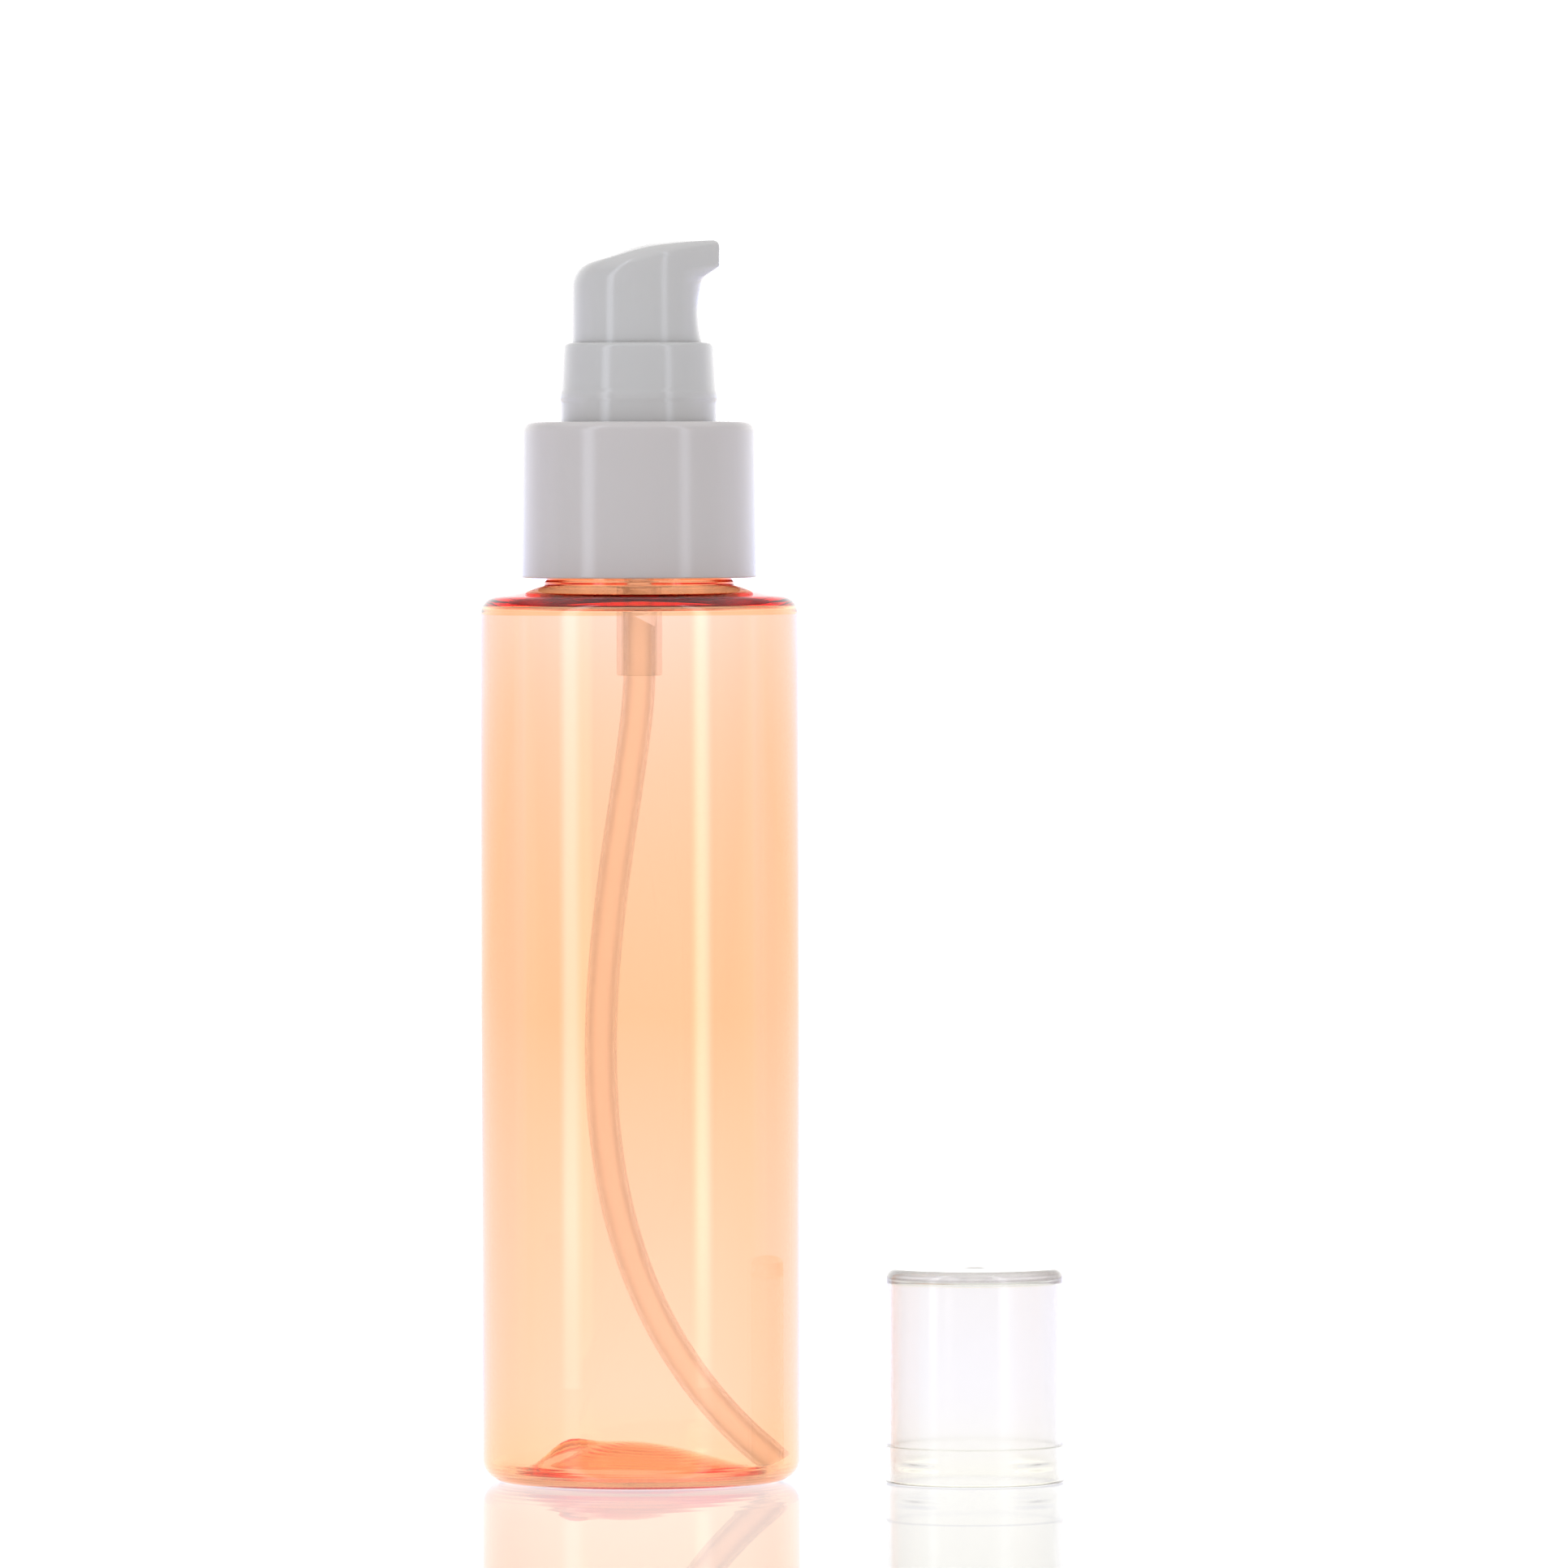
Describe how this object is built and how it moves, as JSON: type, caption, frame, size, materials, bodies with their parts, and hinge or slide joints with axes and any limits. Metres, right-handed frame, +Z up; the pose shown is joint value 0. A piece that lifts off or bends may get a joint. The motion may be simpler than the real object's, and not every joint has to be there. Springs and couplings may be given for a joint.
{
  "type": "pump oil bottle",
  "caption": "Clear orange round bottle with a white screw-on finger pump, curved dip tube and clear overcap standing beside it, for massage oil.",
  "frame": {"origin": "middle of the footprint that the bottle and its overcap share, on the surface they stand on", "axes": "+Z up, along the bottle; +X to the overcap and along the spout; +Y away from the viewer"},
  "size_m": [0.0686, 0.0376, 0.1463],
  "materials": {
    "clear_orange_pet": "clear, blown",
    "clear_plastic": "clear, moulded",
    "white_plastic": "satin gloss",
    "natural_plastic": "milky, translucent",
    "gasket_foam": "foamed",
    "spring_steel": "drawn wire",
    "ball_glass": "polished"
  },
  "bodies": {
    "bottle": {"bottle": "clear_orange_pet"},
    "pump": {"pump_housing": "natural_plastic", "gasket": "gasket_foam", "chaplet": "white_plastic", "snap_sleeve": "white_plastic", "dip_tube": "natural_plastic", "spring": "spring_steel"},
    "collar": {"collar": "white_plastic"},
    "stem": {"stem": "natural_plastic", "plunger": "natural_plastic"},
    "actuator": {"actuator": "white_plastic"},
    "piston": {"piston": "natural_plastic"},
    "inlet_ball": {"inlet_ball": "ball_glass"},
    "overcap": {"overcap": "clear_plastic"}
  },
  "joints": [
    {"name": "pump_lift", "type": "slide", "parent": "bottle", "child": "pump", "axis": [0, 0, 1], "range_m": [0, 0.00477]},
    {"name": "collar_turn", "type": "hinge", "parent": "pump", "child": "collar", "pos_m": [-0.01554, 0, 0.1157], "axis": [0, 0, 1], "range_deg": [0, 540]},
    {"name": "actuator_press", "type": "slide", "parent": "pump", "child": "stem", "axis": [0, 0, -1], "range_m": [0, 0.006], "stiffness_N_per_m": 600, "deforming": ["spring"]},
    {"name": "actuator_swivel", "type": "hinge", "parent": "stem", "child": "actuator", "pos_m": [-0.01554, 0, 0.138], "axis": [0, 0, 1], "continuous": true},
    {"name": "piston_slip", "type": "slide", "parent": "stem", "child": "piston", "axis": [0, 0, 1], "range_m": [0, 0.0008]},
    {"name": "ball_lift", "type": "slide", "parent": "pump", "child": "inlet_ball", "axis": [0, 0, 1], "range_m": [0, 0.0008]},
    {"name": "overcap_lift", "type": "slide", "parent": "bottle", "child": "overcap", "axis": [0, 0, 1], "range_m": [0, 0.15]}
  ],
  "couplings": [
    {"joint": "pump_lift", "follows": "collar_turn", "m_per_rad": 0.00050532}
  ]
}
